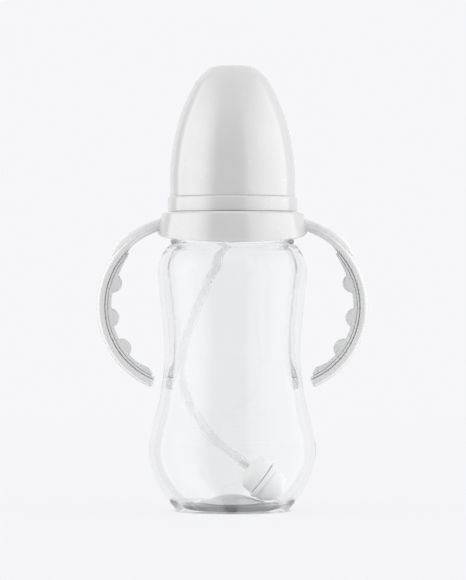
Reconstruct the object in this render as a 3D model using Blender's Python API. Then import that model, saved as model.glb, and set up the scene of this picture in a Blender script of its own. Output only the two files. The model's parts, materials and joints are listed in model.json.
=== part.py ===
"""A 240 ml wide-neck baby bottle with handles, travel cap and weighted straw.

+Z is up, the handles lie along +X and -X, and the origin is the centre of the foot.
Lengths are written in millimetres and turned into metres where a mesh is made.
"""

import math

import bmesh
import bpy
from mathutils import Matrix, Vector

MM = 0.001
GAP = 0.3  # between pieces that touch

# Facets round a full turn.
ROUND = 32
SOFT_ROUND = 24
SMALL_ROUND = 16
HOSE_ROUND = 8

# Bottle.
FOOT_R = 23.9
PUNT_R = 17.0
PUNT_HEIGHT = 4.4
NECK_BEAD_R = 26.4
NECK_BEAD_Z = 116.1
NECK_R = 24.0
NECK_BORE_R = 20.8
NECK_TOP_Z = 127.2
BODY_OUTSIDE = (
    (FOOT_R, 0.0),
    (26.3, 3.4),
    (31.0, 9.8),
    (34.4, 17.4),
    (35.7, 25.9),
    (34.3, 35.3),
    (31.0, 48.0),
    (29.0, 64.4),
    (29.6, 78.5),
    (31.0, 91.8),
    (31.75, 101.6),
    (30.9, 107.4),
    (27.6, 113.2),
)
BODY_INSIDE = (
    (NECK_BORE_R, 113.6),
    (23.4, 109.6),
    (26.9, 105.4),
    (27.7, 100.6),
    (26.7, 90.6),
    (25.5, 78.5),
    (25.1, 64.0),
    (27.0, 47.8),
    (30.3, 34.6),
    (31.7, 25.9),
    (29.7, 17.0),
    (25.3, 9.0),
    (20.3, 3.9),
    (15.8, 2.6),
    (11.5, 4.2),
    (6.0, 6.7),
    (0.0, 7.5),
)

# Screw thread of neck and collar: one right-hand start.
PITCH = 4.0
TURNS = 1.5
THREAD_START_Z = 119.0
NECK_CREST_R = 25.2
COLLAR_BORE_R = 25.6
COLLAR_CREST_R = 24.4
RIDGE_ROOT_WIDTH = 2.0
RIDGE_CREST_WIDTH = 0.9
RIDGE_BURIED = 0.5

# Collar.
BAND_R = 27.7
BAND_BOTTOM_Z = 127.7
BAND_TOP_Z = 133.9
SKIRT_R = 26.9
SKIRT_BOTTOM_Z = 117.3
TEAT_HOLE_R = 18.6
LIP_R = 24.6
LIP_TOP_Z = 138.2

# Stack between the neck and the collar's plate.
SEAL_THICK = 0.9
RIM_R = 22.4
RIM_THICK = 1.5
FLANGE_THICK = 1.6
SEAL_Z = NECK_TOP_Z + GAP
RIM_Z = SEAL_Z + SEAL_THICK + GAP
FLANGE_Z = RIM_Z + RIM_THICK + GAP
PLATE_Z = FLANGE_Z + FLANGE_THICK + GAP

# Handle ring.
RING_BORE_R = 27.2
RING_TOP_Z = BAND_BOTTOM_Z - GAP
RING_SIDE_Z = 118.5
RING_FRONT_DROP = 4.1
RING_OUTSIDE = ((28.3, RING_TOP_Z), (29.5, 126.4), (30.2, 125.0), (31.1, 120.2))
RING_FOOT_R = 31.8

# Handles: all long edges are arcs round one centre, in degrees above the outward level.
HANDLE_U = 20.64
HANDLE_Z = 87.3
ARM_R = 37.4
ARM_INNER_R = 33.9
LIP_INNER_R = 32.6
GRIP_INNER_R = 31.3
ARM_HALF = 7.0
LIP_HALF = 6.3
GRIP_HALF = 6.1
PAD_HALF = 6.0
TONGUE_HALF = 2.6
TONGUE_R = 33.7
ARM_ROOT_DEG = 80.0
ARM_TIP_DEG = -66.4
BUMP_DEGREES = (18.0, -8.7, -33.8)
BUMP_CENTRE_R = 32.4
BUMP_R = 4.2
TENON_HALF = 4.0
TENON_U = (29.0, 33.0)
TENON_Z = (120.3, 122.4)

# Weighted straw.
HOSE_R = 2.0
HOSE_BORE_R = 1.3
BARB_R = 1.0
BARB_BORE_R = 0.5
SPIGOT_TOP_Z = 127.3
SPIGOT_BOTTOM_Z = 123.2
WEIGHT_TOP = Vector((6.8, 0.0, 18.2))
WEIGHT_AXIS = Vector((0.777, 0.0, -0.63)).normalized()
HOSE_ROUTE = (
    (0.0, 127.0),
    (0.0, 125.0),
    (0.0, 123.0),
    (-0.36, 120.1),
    (-1.82, 116.6),
    (-2.95, 114.3),
    (-6.0, 107.0),
    (-9.9, 98.5),
    (-13.9, 90.0),
    (-17.3, 81.5),
    (-19.9, 74.0),
    (-21.4, 67.0),
    (-21.8, 60.5),
    (-21.0, 54.0),
    (-18.8, 46.6),
    (-15.2, 39.6),
    (-9.9, 32.7),
    (-4.5, 27.6),
    (-0.2, 23.9),
    (3.0, 21.3),
    (6.5, 18.45),
)

# Travel cap: outside of the dome, bottom to top, and its wall.
CAP_BOTTOM_Z = BAND_TOP_Z + GAP
CAP_WALL = 1.6
CAP_TOP_Z = 190.0
CAP_OUTSIDE = (
    (26.84, CAP_BOTTOM_Z),
    (26.7, 146.0),
    (24.8, 159.3),
    (21.5, 171.0),
    (16.5, 181.9),
    (13.2, 186.2),
    (9.6, 189.2),
    (6.4, CAP_TOP_Z),
)

# Teat: outside above the flange, bottom to top.
TEAT_WALL = 1.7
TEAT_HOLE = 0.5
TEAT_OUTSIDE = (
    (18.2, FLANGE_Z + FLANGE_THICK),
    (18.2, 137.0),
    (16.9, 143.0),
    (13.4, 149.0),
    (8.9, 154.0),
    (6.5, 159.0),
    (6.0, 165.0),
    (6.5, 170.5),
    (5.6, 175.5),
    (2.6, 178.2),
)


def clear_scene():
    for old in list(bpy.data.objects):
        bpy.data.objects.remove(old)


def material(name, colour, roughness, metallic=0.0, alpha=1.0):
    made = bpy.data.materials.new(name)
    made.use_nodes = True
    shader = made.node_tree.nodes["Principled BSDF"]
    shader.inputs["Base Color"].default_value = (*colour, 1.0)
    shader.inputs["Roughness"].default_value = roughness
    shader.inputs["Metallic"].default_value = metallic
    shader.inputs["Alpha"].default_value = alpha
    return made


def smoothed(points, steps):
    """A Catmull-Rom curve through the points, as tuples, with steps pieces between two."""
    knots = [Vector(p) for p in points]
    knots.insert(0, 2 * knots[0] - knots[1])
    knots.append(2 * knots[-1] - knots[-2])
    curve = []
    for a, b, c, d in zip(knots, knots[1:], knots[2:], knots[3:]):
        for i in range(steps):
            t = i / steps
            curve.append(
                0.5
                * (
                    2 * b
                    + (c - a) * t
                    + (2 * a - 5 * b + 4 * c - d) * t**2
                    + (3 * b - a - 3 * c + d) * t**3
                )
            )
    curve.append(knots[-2])
    return [tuple(p) for p in curve]


def inset(points, distance):
    """An open (r, z) curve moved to its left by the distance."""
    moved = []
    for i, point in enumerate(points):
        before = Vector(points[max(i - 1, 0)])
        after = Vector(points[min(i + 1, len(points) - 1)])
        along = (after - before).normalized()
        moved.append((point[0] - along.y * distance, point[1] + along.x * distance))
    return moved


def corner(centre_r, centre_z, radius, start, end, steps=3):
    """Points (r, z) on a quarter round or another arc, in degrees."""
    turns = [math.radians(start + (end - start) * i / steps) for i in range(steps + 1)]
    return [(centre_r + radius * math.cos(t), centre_z + radius * math.sin(t)) for t in turns]


def finished(name, mesh_data, look, parent):
    """Makes an object of a bmesh whose lengths are millimetres."""
    bmesh.ops.scale(mesh_data, vec=(MM, MM, MM), verts=mesh_data.verts)
    bmesh.ops.recalc_face_normals(mesh_data, faces=mesh_data.faces)
    mesh = bpy.data.meshes.new(name)
    mesh_data.to_mesh(mesh)
    mesh_data.free()
    mesh.materials.append(look)
    mesh.shade_smooth()
    mesh.set_sharp_from_angle(angle=math.radians(35))
    made = bpy.data.objects.new(name, mesh)
    bpy.context.scene.collection.objects.link(made)
    made.parent = parent
    return made


def turned(name, profile, look, parent, facets=ROUND, place=None, height=None):
    """Turns a closed (r, z) outline round Z. height(angle, z) may change each point's z."""
    shape = bmesh.new()
    rings = []
    for r, z in profile:
        if r < 1e-6:
            rings.append([shape.verts.new((0.0, 0.0, z))] * facets)
            continue
        ring = []
        for i in range(facets):
            angle = math.tau * i / facets
            level = height(angle, z) if height else z
            ring.append(shape.verts.new((r * math.cos(angle), r * math.sin(angle), level)))
        rings.append(ring)
    for low, high in zip(rings, rings[1:] + rings[:1]):
        for i in range(facets):
            j = (i + 1) % facets
            corners = [low[i], low[j], high[j], high[i]]
            face = list(dict.fromkeys(corners))
            if len(face) > 2:
                shape.faces.new(face)
    if place:
        shape.transform(place)
    return finished(name, shape, look, parent)


def extruded(name, outline, half, look, parent, rounding=0.0):
    """Extrudes a closed (x, z) outline to both sides of the XZ plane."""
    shape = bmesh.new()
    front = shape.faces.new([shape.verts.new((x, -half, z)) for x, z in outline])
    back = bmesh.ops.extrude_face_region(shape, geom=[front])["geom"]
    moved = [v for v in back if isinstance(v, bmesh.types.BMVert)]
    bmesh.ops.translate(shape, vec=(0.0, 2 * half, 0.0), verts=moved)
    if rounding:
        rims = [e for e in shape.edges if abs(e.verts[0].co.y - e.verts[1].co.y) < 1e-6]
        bmesh.ops.bevel(
            shape, geom=rims, offset=rounding, segments=1, profile=0.5, affect="EDGES",
            clamp_overlap=True,
        )
    return finished(name, shape, look, parent)


def cylinder(name, r, low, high, look, x=0.0, y=0.0):
    profile = ((0.0, low), (r, low), (r, high), (0.0, high))
    place = Matrix.Translation((x, y, 0.0))
    return turned(name, profile, look, None, SMALL_ROUND, place)


def box(name, low, high, look):
    shape = bmesh.new()
    bmesh.ops.create_cube(shape, size=1.0)
    size = [b - a for a, b in zip(low, high)]
    middle = [(a + b) / 2 for a, b in zip(low, high)]
    bmesh.ops.scale(shape, vec=size, verts=shape.verts)
    bmesh.ops.translate(shape, vec=middle, verts=shape.verts)
    return finished(name, shape, look, None)


def combine(target, tool, operation):
    """Joins the tool to the target, or cuts it out, and keeps the tool as a hidden guide."""
    tool.hide_render = True
    tool.display_type = "WIRE"
    step = target.modifiers.new(tool.name, "BOOLEAN")
    step.operation = operation
    step.solver = "EXACT"
    step.object = tool


def thread_ridge(name, root_r, crest_r, start_z, first_turn, look):
    """A helical ridge with its base inside the wall it stands on. Its ends run out into it."""
    shape = bmesh.new()
    steps = round(TURNS * ROUND)
    fade = ROUND // 8
    depth = RIDGE_BURIED if root_r > crest_r else -RIDGE_BURIED
    buried_r = root_r + depth
    slope = (RIDGE_ROOT_WIDTH - RIDGE_CREST_WIDTH) / 2 / abs(crest_r - root_r)
    half_crest = RIDGE_CREST_WIDTH / 2
    half_base = RIDGE_ROOT_WIDTH / 2 + slope * RIDGE_BURIED
    rows = []
    for i in range(steps + 1):
        angle = math.tau * (first_turn + i / ROUND)
        middle = start_z + PITCH * (first_turn + i / ROUND)
        share = min(1.0, i / fade, (steps - i) / fade)
        top_r = root_r + depth / 2
        crest = top_r + (crest_r - top_r) * share
        section = (
            (buried_r, -half_base),
            (crest, -half_crest),
            (crest, half_crest),
            (buried_r, half_base),
        )
        rows.append(
            [
                shape.verts.new((r * math.cos(angle), r * math.sin(angle), middle + z))
                for r, z in section
            ]
        )
    for row, following in zip(rows, rows[1:]):
        for k in range(len(row)):
            m = (k + 1) % len(row)
            shape.faces.new((row[k], row[m], following[m], following[k]))
    shape.faces.new(rows[0])
    shape.faces.new(list(reversed(rows[-1])))
    return finished(name, shape, look, None)


def handle_point(side, radius, degrees):
    turn = math.radians(degrees)
    x = HANDLE_U + radius * math.cos(turn)
    return (side * x, HANDLE_Z + radius * math.sin(turn))


def handle_arc(side, radius, start, end, step=6.0):
    count = max(2, round(abs(end - start) / step))
    turns = [start + (end - start) * i / count for i in range(count + 1)]
    return [handle_point(side, radius, d) for d in turns]


def make_bottle(look, root):
    outside = smoothed(BODY_OUTSIDE, 2)
    inside = list(BODY_INSIDE)
    punt = [(PUNT_R * i / 4, PUNT_HEIGHT * (1 - (i / 4) ** 2)) for i in range(5)]
    neck = [
        (NECK_BEAD_R, 114.0),
        (NECK_BEAD_R, NECK_BEAD_Z - 0.5),
        (NECK_BEAD_R - 0.5, NECK_BEAD_Z),
        (NECK_R, NECK_BEAD_Z),
        (NECK_R, NECK_TOP_Z - 0.4),
        (NECK_R - 0.4, NECK_TOP_Z),
        (NECK_BORE_R, NECK_TOP_Z),
    ]
    bottle = turned("bottle_body", punt + outside + neck + inside, look, root)
    ridge = thread_ridge(
        "neck_thread_guide", NECK_R, NECK_CREST_R, THREAD_START_Z, 0.0, look
    )
    combine(bottle, ridge, "UNION")


def make_collar(look, parent):
    profile = [
        (COLLAR_BORE_R, SKIRT_BOTTOM_Z),
        (SKIRT_R, SKIRT_BOTTOM_Z),
        (SKIRT_R, BAND_BOTTOM_Z),
        *corner(BAND_R - 0.4, BAND_BOTTOM_Z + 0.4, 0.4, -90, 0, 2),
        *corner(BAND_R - 1.0, BAND_TOP_Z - 1.0, 1.0, 0, 90),
        (LIP_R, BAND_TOP_Z),
        (LIP_R, LIP_TOP_Z - 1.6),
        (LIP_R + 0.3, LIP_TOP_Z - 1.1),
        (LIP_R, LIP_TOP_Z - 0.6),
        (LIP_R - 0.5, LIP_TOP_Z),
        (LIP_R - 1.6, LIP_TOP_Z),
        (LIP_R - 1.6, BAND_TOP_Z),
        (TEAT_HOLE_R + 0.4, BAND_TOP_Z),
        (TEAT_HOLE_R, BAND_TOP_Z - 0.4),
        (TEAT_HOLE_R, PLATE_Z),
        (COLLAR_BORE_R, PLATE_Z),
    ]
    collar = turned("screw_collar", profile, look, parent)
    ridge = thread_ridge(
        "collar_thread_guide",
        COLLAR_BORE_R,
        COLLAR_CREST_R,
        THREAD_START_Z - PITCH / 2,
        0.5,
        look,
    )
    combine(collar, ridge, "UNION")


def ring_edge(angle, z):
    """The ring's lower edge drops towards its front and back."""
    if z > RING_SIDE_Z + 2.0:
        return z
    return z - RING_FRONT_DROP * abs(math.sin(angle))


def make_handle_ring(look, parent):
    profile = [
        (RING_BORE_R, RING_SIDE_Z),
        (RING_FOOT_R - 0.2, RING_SIDE_Z),
        (RING_FOOT_R, RING_SIDE_Z + 0.2),
        (RING_FOOT_R - 0.2, RING_SIDE_Z + 0.9),
        (31.2, RING_SIDE_Z + 1.6),
        *reversed(RING_OUTSIDE[:3]),
        (RING_BORE_R, RING_TOP_Z),
    ]
    ring = turned("handle_ring", profile, look, parent, height=ring_edge)
    for side in (-1, 1):
        near, far = sorted((side * (TENON_U[0] - GAP), side * (TENON_U[1] + GAP)))
        low = (near, -TENON_HALF - GAP, TENON_Z[0] - GAP)
        high = (far, TENON_HALF + GAP, TENON_Z[1] + GAP)
        socket = box(f"socket_guide_{side}", low, high, look)
        combine(ring, socket, "DIFFERENCE")


def ring_envelope(name, look):
    """The space of the ring with the gap round it, to trim what stands against it."""
    profile = [(0.0, 110.0), (RING_FOOT_R + GAP, 110.0), (RING_FOOT_R + GAP, 119.6)]
    profile += [(r + GAP, z) for r, z in reversed(RING_OUTSIDE[:3])]
    profile += [(28.3 + GAP, 129.5), (0.0, 129.5)]
    return turned(name, profile, look, None)


def make_handle(side, looks, parent):
    hand = "left" if side < 0 else "right"
    body = [
        *handle_arc(side, ARM_R, ARM_ROOT_DEG, ARM_TIP_DEG),
        (side * 33.8, 52.7),
        (side * 32.7, 54.4),
        *handle_arc(side, ARM_INNER_R, ARM_TIP_DEG - 1.0, ARM_ROOT_DEG),
    ]
    arm = extruded(f"handle_arm_{hand}", body, ARM_HALF, looks["white"], parent, 1.0)
    inner_edge = [(52.0, 33.8), (48.0, 33.5), (44.0, 33.1), (40.0, 32.8)]
    lip = [
        *handle_arc(side, ARM_INNER_R + 0.9, ARM_TIP_DEG + 1.0, 51.0),
        *[handle_point(side, r, d) for d, r in inner_edge],
        *handle_arc(side, LIP_INNER_R, 36.0, ARM_TIP_DEG + 0.6),
    ]
    rail = extruded(f"lip_guide_{hand}", lip, LIP_HALF, looks["white"], None, 0.3)
    combine(arm, rail, "UNION")
    slot = [
        *handle_arc(side, TONGUE_R + GAP, 34.0, -62.0),
        *handle_arc(side, LIP_INNER_R - 1.5, -62.0, 34.0),
    ]
    groove = extruded(
        f"groove_guide_{hand}", slot, TONGUE_HALF + GAP, looks["white"], None
    )
    combine(arm, groove, "DIFFERENCE")
    trim = ring_envelope(f"arm_trim_guide_{hand}", looks["white"])
    combine(arm, trim, "DIFFERENCE")
    near, far = sorted((side * TENON_U[0], side * TENON_U[1]))
    tenon = box(
        f"tenon_guide_{hand}",
        (near, -TENON_HALF, TENON_Z[0]),
        (far, TENON_HALF, TENON_Z[1]),
        looks["white"],
    )
    combine(arm, tenon, "UNION")
    make_grip(side, hand, looks["grip"], parent)
    make_pad(side, hand, looks["pad"], parent)


def bump_outline(side, middle):
    """The half round of a finger bump, from its upper foot to its lower one."""
    foot = math.degrees(math.acos((BUMP_CENTRE_R - GRIP_INNER_R) / BUMP_R))
    centre = Vector(handle_point(side, BUMP_CENTRE_R, middle))
    inward = Vector((HANDLE_U * side, HANDLE_Z)) - centre
    inward.normalize()
    across = Vector((-inward.y, inward.x)) * side
    points = []
    for i in range(7):
        turn = math.radians(foot * (i / 3 - 1))
        point = centre + BUMP_R * (inward * math.cos(turn) + across * math.sin(turn))
        points.append(tuple(point))
    return points


def make_grip(side, hand, look, parent):
    back_r = LIP_INNER_R - GAP
    inner = [handle_point(side, r, d) for d, r in ((47.0, 33.0), (41.0, 32.3), (34.0, 31.7))]
    ends = [28.0]
    foot = math.degrees(math.asin(4.05 / GRIP_INNER_R))
    for middle in BUMP_DEGREES:
        inner += handle_arc(side, GRIP_INNER_R, ends[-1], middle + foot + 0.8)
        inner += bump_outline(side, middle)
        ends.append(middle - foot - 0.8)
    inner += handle_arc(side, GRIP_INNER_R, ends[-1], -49.0)
    inner += [handle_point(side, r, d) for d, r in ((-54.5, 30.8), (-59.5, 30.3), (-61.0, 30.6))]
    inner.append(handle_point(side, back_r, -64.8))
    back = handle_arc(side, back_r, -63.0, 37.0)
    back += [handle_point(side, r, d) for d, r in ((42.0, 32.65), (46.5, 33.1))]
    outline = inner + back
    grip = extruded(f"grip_insert_{hand}", outline, GRIP_HALF, look, parent, 0.35)
    rail = [
        *handle_arc(side, TONGUE_R, 33.0, -61.0),
        *handle_arc(side, back_r - 0.5, -61.0, 33.0),
    ]
    tongue = extruded(f"tongue_guide_{hand}", rail, TONGUE_HALF, look, None)
    combine(grip, tongue, "UNION")


def make_pad(side, hand, look, parent):
    crown = ((35.0, 37.85), (37.5, 38.4), (41.0, 39.2), (46.0, 39.5))
    crown += ((53.0, 39.4), (61.0, 39.0), (70.0, 38.9), (80.0, 39.2))
    outline = [handle_point(side, r, d) for d, r in crown]
    outline += handle_arc(side, ARM_R + GAP, 80.0, 35.0)
    pad = extruded(f"thumb_pad_{hand}", outline, PAD_HALF, look, parent)
    trim = ring_envelope(f"pad_trim_guide_{hand}", look)
    combine(pad, trim, "DIFFERENCE")


def make_cap(look, parent):
    outside = smoothed(CAP_OUTSIDE, 2) + [(0.0, CAP_TOP_Z)]
    inner_curve = inset(smoothed(CAP_OUTSIDE[:-1], 1), CAP_WALL)
    inside = [(0.0, CAP_TOP_Z - CAP_WALL), *reversed(inner_curve[1:])]
    inside.append((CAP_OUTSIDE[0][0] - CAP_WALL, CAP_BOTTOM_Z))
    turned("travel_cap", outside + inside, look, parent)


def make_teat(look, parent):
    outside = list(TEAT_OUTSIDE)
    inside = list(reversed(inset(outside, TEAT_WALL)))
    top = [(TEAT_HOLE, outside[-1][1] + 0.3), (TEAT_HOLE, inside[0][1])]
    bottom = [(inside[-1][0], FLANGE_Z), (RIM_R, FLANGE_Z)]
    bottom += [(RIM_R, FLANGE_Z + FLANGE_THICK)]
    profile = bottom + outside + top + inside[:-1]
    teat = turned("teat", profile, look, parent, SOFT_ROUND)
    vent = cylinder("teat_vent_guide", 0.6, FLANGE_Z - 1.0, FLANGE_Z + 3.0, look, y=20.4)
    combine(teat, vent, "DIFFERENCE")


def make_adaptor(look, parent):
    plug_r = NECK_BORE_R - 0.4
    profile = [
        (BARB_BORE_R, SPIGOT_BOTTOM_Z),
        (BARB_R - 0.2, SPIGOT_BOTTOM_Z),
        (BARB_R, SPIGOT_BOTTOM_Z + 0.6),
        (BARB_R, SPIGOT_TOP_Z),
        (3.0, SPIGOT_TOP_Z),
        (3.4, RIM_Z),
        (plug_r - 1.4, RIM_Z),
        (plug_r - 1.4, RIM_Z - 4.6),
        (plug_r - 0.4, RIM_Z - 4.6),
        (plug_r, RIM_Z - 3.6),
        (plug_r, RIM_Z),
        (RIM_R, RIM_Z),
        (RIM_R, RIM_Z + RIM_THICK),
        (2.2, RIM_Z + RIM_THICK),
        (BARB_BORE_R, SPIGOT_TOP_Z + 1.0),
    ]
    adaptor = turned("straw_adaptor", profile, look, parent, SOFT_ROUND)
    vent = cylinder("vent_guide", 1.0, RIM_Z - 1.0, RIM_Z + 3.0, look, y=14.0)
    combine(adaptor, vent, "DIFFERENCE")


def make_seal(look, parent):
    low, high = SEAL_Z, SEAL_Z + SEAL_THICK
    profile = ((21.1, low), (23.7, low), (23.7, high), (21.1, high))
    turned("adaptor_seal", profile, look, parent, SOFT_ROUND)


def make_hose(look, parent):
    """A tube swept along its route in the XZ plane, open at both ends."""
    route = [Vector(point) for point in HOSE_ROUTE]
    shape = bmesh.new()
    rows = []
    for i, (x, z) in enumerate(route):
        before = route[max(i - 1, 0)]
        after = route[min(i + 1, len(route) - 1)]
        along = (after - before).normalized()
        across = Vector((-along.y, 0.0, along.x))
        sideways = Vector((0.0, 1.0, 0.0))
        row = []
        for radius in (HOSE_R, HOSE_BORE_R):
            for k in range(HOSE_ROUND):
                turn = math.tau * (k + 0.5) / HOSE_ROUND
                offset = across * math.cos(turn) + sideways * math.sin(turn)
                row.append(shape.verts.new(Vector((x, 0.0, z)) + offset * radius))
        rows.append((row[:HOSE_ROUND], row[HOSE_ROUND:]))
    for k in range(HOSE_ROUND):
        m = (k + 1) % HOSE_ROUND
        for row, following in zip(rows, rows[1:]):
            for wall in (0, 1):
                a, b = row[wall], following[wall]
                shape.faces.new((a[k], a[m], b[m], b[k]))
        for outer, bore in (rows[0], rows[-1]):
            shape.faces.new((outer[k], outer[m], bore[m], bore[k]))
    finished("straw_tube", shape, look, parent)


def weight_place():
    """Turns +Z into the weight's axis, from its top."""
    turn = Vector((0.0, 0.0, 1.0)).rotation_difference(WEIGHT_AXIS)
    return Matrix.Translation(WEIGHT_TOP) @ turn.to_matrix().to_4x4()


def make_weight(looks, parent):
    place = weight_place()
    upper = [
        (BARB_BORE_R, -4.0),
        (BARB_R - 0.2, -4.0),
        (BARB_R, -3.4),
        (BARB_R, 0.0),
        (3.3, 0.0),
        *corner(3.3, 4.2, 4.2, -60, 0),
        (7.5, 7.2),
        (6.1, 7.2),
        (6.1, 9.4),
        (5.2, 9.4),
        (5.2, 7.4),
        *reversed(corner(3.3, 4.2, 2.9, -60, 0, 2)),
        (2.6, 1.3),
        (BARB_BORE_R, 1.3),
    ]
    turned("weight_shell_upper", upper, looks["shell"], parent, SMALL_ROUND, place)
    lower = [
        (7.5, 9.6),
        (8.1, 9.4),
        (8.1, 7.7),
        (7.9, 7.5),
        (6.4, 7.5),
        (6.4, 11.6),
        (5.6, 14.4),
        (3.4, 16.6),
        (1.2, 16.6),
        (1.2, 17.9),
        (2.6, 17.9),
        (4.4, 17.3),
        (6.1, 15.6),
        (7.1, 13.4),
        (7.5, 11.4),
    ]
    turned("weight_shell_lower", lower, looks["shell"], parent, SMALL_ROUND, place)
    core = ((1.6, 2.4), (4.6, 2.4), (4.9, 2.8), (4.9, 14.6), (4.5, 15.0), (1.6, 15.0))
    turned("weight_core", core, looks["steel"], parent, SMALL_ROUND, place)


def group(name, height, parent=None):
    """An empty on the bottle's axis, which its moving pieces hang on."""
    made = bpy.data.objects.new(name, None)
    made.empty_display_size = 0.01
    bpy.context.scene.collection.objects.link(made)
    made.parent = parent
    base = parent.location.z if parent else 0.0
    made.location = (0.0, 0.0, height * MM - base)
    return made


def main():
    clear_scene()
    looks = {
        "clear": material("clear_body", (0.93, 0.95, 0.96), 0.05, alpha=0.35),
        "white": material("white_plastic", (0.82, 0.82, 0.82), 0.22),
        "grip": material("soft_grip", (0.68, 0.68, 0.68), 0.5),
        "pad": material("soft_pad", (0.80, 0.80, 0.80), 0.4),
        "silicone": material("silicone", (0.86, 0.86, 0.84), 0.35),
        "hose": material("hose_silicone", (0.78, 0.78, 0.78), 0.3),
        "shell": material("weight_shell", (0.88, 0.88, 0.88), 0.25),
        "steel": material("steel", (0.62, 0.62, 0.63), 0.3, metallic=1.0),
    }
    bottle_axis = group("bottle_axis", 0.0)
    handle_axis = group("handle_axis", 0.0)
    head_axis = group("head_axis", 0.0)
    collar_axis = group("collar_axis", 0.0)
    cap_axis = group("cap_axis", 0.0)
    straw_axis = group("straw_axis", 0.0)
    make_bottle(looks["clear"], bottle_axis)
    make_handle_ring(looks["white"], handle_axis)
    for side in (-1, 1):
        make_handle(side, looks, handle_axis)
    make_collar(looks["white"], collar_axis)
    make_teat(looks["silicone"], head_axis)
    make_adaptor(looks["shell"], head_axis)
    make_seal(looks["silicone"], head_axis)
    make_hose(looks["hose"], straw_axis)
    make_weight(looks, straw_axis)
    make_cap(looks["white"], cap_axis)


main()
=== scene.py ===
"""The looks of the baby bottle: fine surfaces, materials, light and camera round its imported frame.

The outlines are written in millimetres in the frame's axes: +Z up, the handles along X and the
camera on the -Y side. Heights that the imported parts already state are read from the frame.
"""

import json
import math

import bmesh
import bpy
from mathutils import Matrix, Vector


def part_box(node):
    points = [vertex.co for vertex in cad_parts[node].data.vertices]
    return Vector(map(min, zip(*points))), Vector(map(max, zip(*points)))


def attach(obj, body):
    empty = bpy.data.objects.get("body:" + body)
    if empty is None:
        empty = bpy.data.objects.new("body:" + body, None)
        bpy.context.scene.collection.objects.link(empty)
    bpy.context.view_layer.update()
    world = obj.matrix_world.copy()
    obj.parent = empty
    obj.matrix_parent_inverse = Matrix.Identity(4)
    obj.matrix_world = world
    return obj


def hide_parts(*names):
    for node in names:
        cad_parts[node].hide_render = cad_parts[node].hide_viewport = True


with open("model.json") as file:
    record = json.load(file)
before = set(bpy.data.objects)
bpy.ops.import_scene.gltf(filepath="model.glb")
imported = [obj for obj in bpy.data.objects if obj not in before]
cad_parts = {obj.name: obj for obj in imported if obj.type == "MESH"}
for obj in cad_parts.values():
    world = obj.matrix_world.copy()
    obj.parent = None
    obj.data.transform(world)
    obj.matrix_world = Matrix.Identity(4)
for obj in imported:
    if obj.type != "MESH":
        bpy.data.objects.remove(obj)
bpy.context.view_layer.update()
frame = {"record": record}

MM = 0.001
BOTTOM = 0
TOP = 1

# How finely round things are divided.
FACETS = 192
CUTTER_FACETS = 128
SMALL_FACETS = 96
HOSE_FACETS = 48
CURVE_STEPS = 6
HOSE_STEPS = 12


def level(node, end):
    """The lowest or highest level of a CAD node, in millimetres."""
    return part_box(node)[end].z / MM


NECK_TOP = level("bottle_body", TOP)
SKIRT_BOTTOM = level("screw_collar", BOTTOM)
LIP_TOP = level("screw_collar", TOP)
RING_TOP = level("handle_ring", TOP)
CAP_BOTTOM = level("travel_cap", BOTTOM)
CAP_TOP = level("travel_cap", TOP)
FLANGE_BOTTOM = level("teat", BOTTOM)
PLUG_BOTTOM = level("straw_adaptor", BOTTOM)
SEAL_BOTTOM = level("adaptor_seal", BOTTOM)
SEAL_TOP = level("adaptor_seal", TOP)
BAND_BOTTOM = RING_TOP + 0.3
BAND_TOP = CAP_BOTTOM - 0.12

# Screw thread: a right-hand helix of 1.5 turns with a smooth, rounded ridge.
PITCH = 4.0
TURNS = 1.5
THREAD_DEPTH = 1.2
RIDGE_HALF_ROOT = 1.0
RIDGE_HALF_CREST = 0.4
RIDGE_FADE = 0.12
NECK_THREAD_START = 119.0
COLLAR_THREAD_START = 117.0
COLLAR_FIRST_TURN = 0.5

# Neck, collar bore, and the hollow under the bottle.
NECK_R = 24.0
NECK_BORE_R = 20.8
COLLAR_BORE_R = 25.6
PUNT_R = 17.0
PUNT_HEIGHT = 4.4

# Handles: their long edges are arcs round one centre, in degrees above the outward level.
HANDLE_U = 20.64
HANDLE_Z = 87.3
ARM_R = 37.4
ARM_HALF = 7.0
ARM_ROUNDING = 1.9
GROOVE_R = 33.9
LIP_DEPTH = 1.3
# The lip's section below the groove: depth, half width, and half width where there is no lip.
LIP_SECTION = (
    (0.04, 5.6, 5.85),
    (0.3, 5.6, 5.75),
    (0.42, 6.15, 5.65),
    (0.52, 6.3, 5.6),
    (1.05, 6.3, 5.55),
    (1.23, 6.22, 5.45),
    (LIP_DEPTH, 6.05, 5.35),
    (LIP_DEPTH, 2.95, 2.95),
)
TONGUE_HALF = 2.9
TONGUE_DEPTH = 1.4
GRIP_BACK_R = 32.45
GRIP_INNER_R = 31.3
GRIP_HALF = 6.1
BUMP_DEGREES = (18.0, -8.7, -33.8)
BUMP_CENTRE_R = 32.4
BUMP_R = 4.2
BUMP_BLEND = 0.10
PAD_GAP = 0.05
PAD_HALF = 6.2
PAD_CROWN = (
    (35.0, 37.85),
    (37.5, 38.4),
    (41.0, 39.2),
    (46.0, 39.5),
    (53.0, 39.4),
    (61.0, 39.0),
    (70.0, 38.9),
    (80.0, 39.2),
)

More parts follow.
